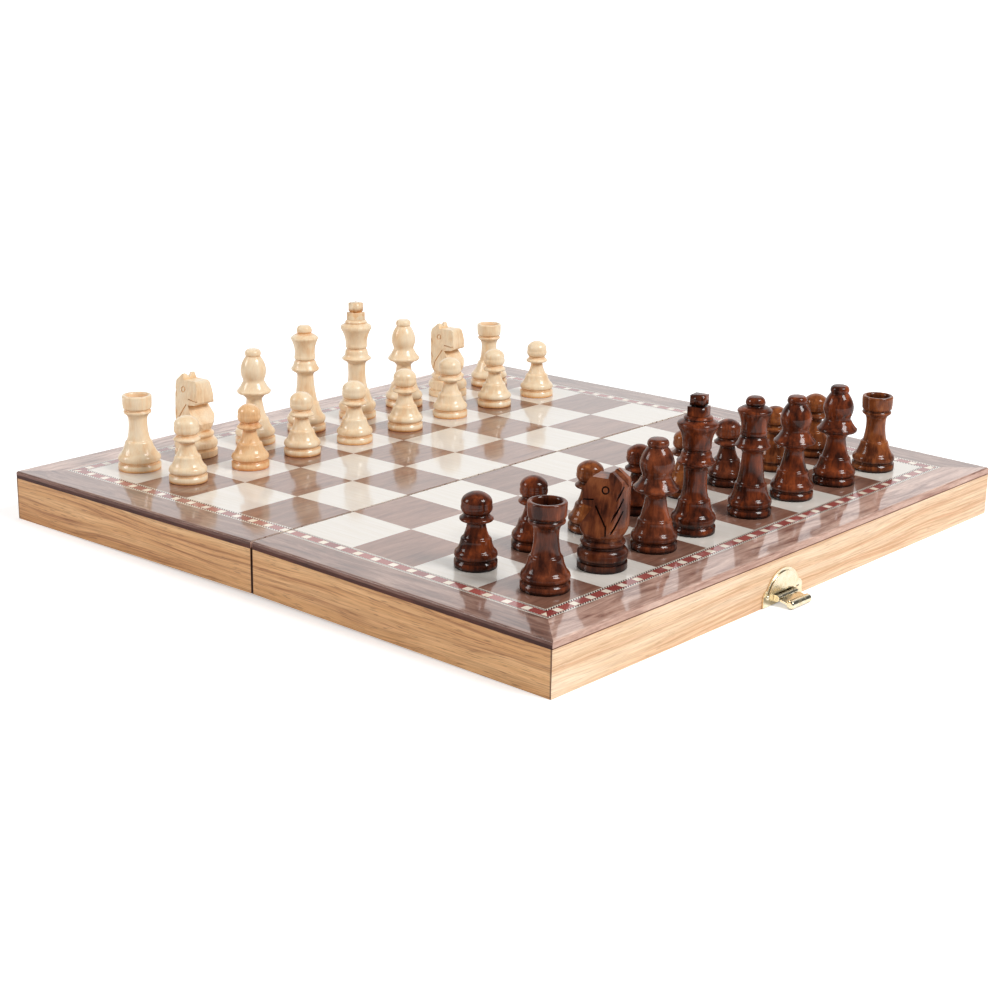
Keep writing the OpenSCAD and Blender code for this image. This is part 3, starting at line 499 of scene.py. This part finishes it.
def dress(name, material, bevel, sharp=SHARP):
    """Gives a frame node its material, welded corners, a small bevel and smooth shading."""
    node = nodes[name]
    node.data.materials.clear()
    node.data.materials.append(material)
    with bpy.context.temp_override(object=node, active_object=node, selected_objects=[node],
                                   selected_editable_objects=[node]):
        if node.data.has_custom_normals:
            bpy.ops.mesh.customdata_custom_splitnormals_clear()
        node.data.shade_smooth()
        weld = node.modifiers.new("weld", "WELD")
        weld.merge_threshold = 0.002 * MM
        if bevel:
            edge = node.modifiers.new("bevel", "BEVEL")
            edge.width = bevel
            edge.segments = 2
            edge.limit_method = "ANGLE"
            edge.angle_limit = math.radians(sharp - 5)
        bpy.context.view_layer.objects.active = node
        bpy.ops.object.shade_auto_smooth(angle=math.radians(sharp))
        if bevel:
            # Keeps the large flat faces' reflections straight beside the bevel
            flat = node.modifiers.new("flat faces", "WEIGHTED_NORMAL")
            flat.keep_sharp = True
            flat.weight = 100


for name, slot in slot_of.items():
    if "knight" in name:
        carved = carved_stain if slot == "dark_stain" else material_of["pale_carved"]
        dress(name, carved, CARVED_BEVEL, SHARP_CARVED)
    elif slot == "oak":
        dress(name, oak_side if "left" in name or "right" in name else oak_front, BEVEL[slot])
    elif slot == "dark_stain":
        dress(name, stain_of.get(name, deep_stain), 0)
    else:
        dress(name, material_of[slot], BEVEL.get(slot, 0))


# ---- floor, lights, camera ----

# Away from the camera, level: where the pale background sweeps up behind the board
BEHIND = (0.74, 0.65, 0.15)


def studio():
    """A white floor that keeps the object's shadow, and a pale world, brighter behind the board."""
    floor = bpy.data.meshes.new("floor")
    work = bmesh.new()
    bmesh.ops.create_grid(work, x_segments=1, y_segments=1, size=6)
    work.to_mesh(floor)
    work.free()
    ground = bpy.data.objects.new("floor", floor)
    bpy.context.scene.collection.objects.link(ground)
    g = Graph("floor")
    x, y, _ = g.axes(g.position())
    reach = g.math("SQRT", g.math("ADD", g.math("MULTIPLY", x, x), g.math("MULTIPLY", y, y)))
    path = g.add("ShaderNodeLightPath").outputs
    seen = g.math("MAXIMUM", path["Is Camera Ray"], g.math("MULTIPLY", path["Is Glossy Ray"], 0.3))
    # It glows a little for the eye only, more so further out, where the shadow has ended
    glow = g.math("MULTIPLY", seen, g.span(reach, 0.2, 0.6, 0.42, 0.9))
    g.set(Base_Color=(0.93, 0.93, 0.93, 1), Roughness=0.9, Specular_IOR_Level=0.1,
          Emission_Color=(1, 1, 1, 1), Emission_Strength=glow)
    floor.materials.append(g.material)

    world = bpy.data.worlds.new("studio")
    bpy.context.scene.world = world
    world.use_nodes = True
    t = Tree(world.node_tree)
    background = t.tree.nodes["Background"]
    background.inputs["Color"].default_value = (1, 1, 1, 1)
    path = t.add("ShaderNodeLightPath").outputs
    toward = t.add("ShaderNodeVectorMath", operation="DOT_PRODUCT")
    t.feed(toward.inputs[0], t.add("ShaderNodeTexCoord").outputs["Generated"])
    toward.inputs[1].default_value = BEHIND
    sweep = t.span(toward.outputs["Value"], 0.5, 0.85, 0.08, 1.1)
    mirrored = t.math("MULTIPLY", path["Is Glossy Ray"], sweep)
    plain = t.math("MAXIMUM", path["Is Camera Ray"], path["Is Transmission Ray"])
    others = t.math("SUBTRACT", 1.0, t.math("MAXIMUM", plain, path["Is Glossy Ray"]))
    strength = t.math("ADD", t.math("ADD", plain, mirrored), t.math("MULTIPLY", others, 0.4))
    t.feed(background.inputs["Strength"], strength)


def softbox(name, place, width, height, power):
    """A rectangular lamp that faces the board."""
    light = bpy.data.lights.new(name, "AREA")
    light.shape = "RECTANGLE"
    light.size = width
    light.size_y = height
    light.energy = power
    lamp = bpy.data.objects.new(name, light)
    bpy.context.scene.collection.objects.link(lamp)
    lamp.location = place
    lamp.rotation_euler = (-Vector(place)).to_track_quat("-Z", "Y").to_euler()


def camera():
    """The photograph's view: azimuth, elevation, roll and distance to a point on the board."""
    azimuth = math.radians(-48.78)
    elevation = math.radians(16.631)
    roll = math.radians(0.791)
    distance = 932.3 * MM
    target = Vector((-48.4 * MM, FOLD_Y - CELL, RIDGE_Z))
    back = Vector((math.sin(azimuth) * math.cos(elevation),
                   -math.cos(azimuth) * math.cos(elevation), math.sin(elevation)))
    right = Vector((math.cos(azimuth), math.sin(azimuth), 0))
    up = back.cross(right)
    turned_right = right * math.cos(roll) + up * math.sin(roll)
    turned_up = up * math.cos(roll) - right * math.sin(roll)
    lens = bpy.data.cameras.new("camera")
    lens.sensor_width = 36
    lens.lens = 72.24
    lens.clip_end = 50
    viewer = bpy.data.objects.new("camera", lens)
    bpy.context.scene.collection.objects.link(viewer)
    place = target + back * distance
    axes = Matrix((turned_right, turned_up, back)).transposed().to_4x4()
    viewer.matrix_world = Matrix.Translation(place) @ axes
    bpy.context.scene.camera = viewer


studio()
softbox("key_front", (0.2, -1.1, 1.14), width=0.55, height=0.55, power=17)
softbox("fill_left", (-1.08, 0.94, 0.74), width=0.5, height=0.6, power=7)
camera()
bpy.context.scene.view_settings.view_transform = "Standard"
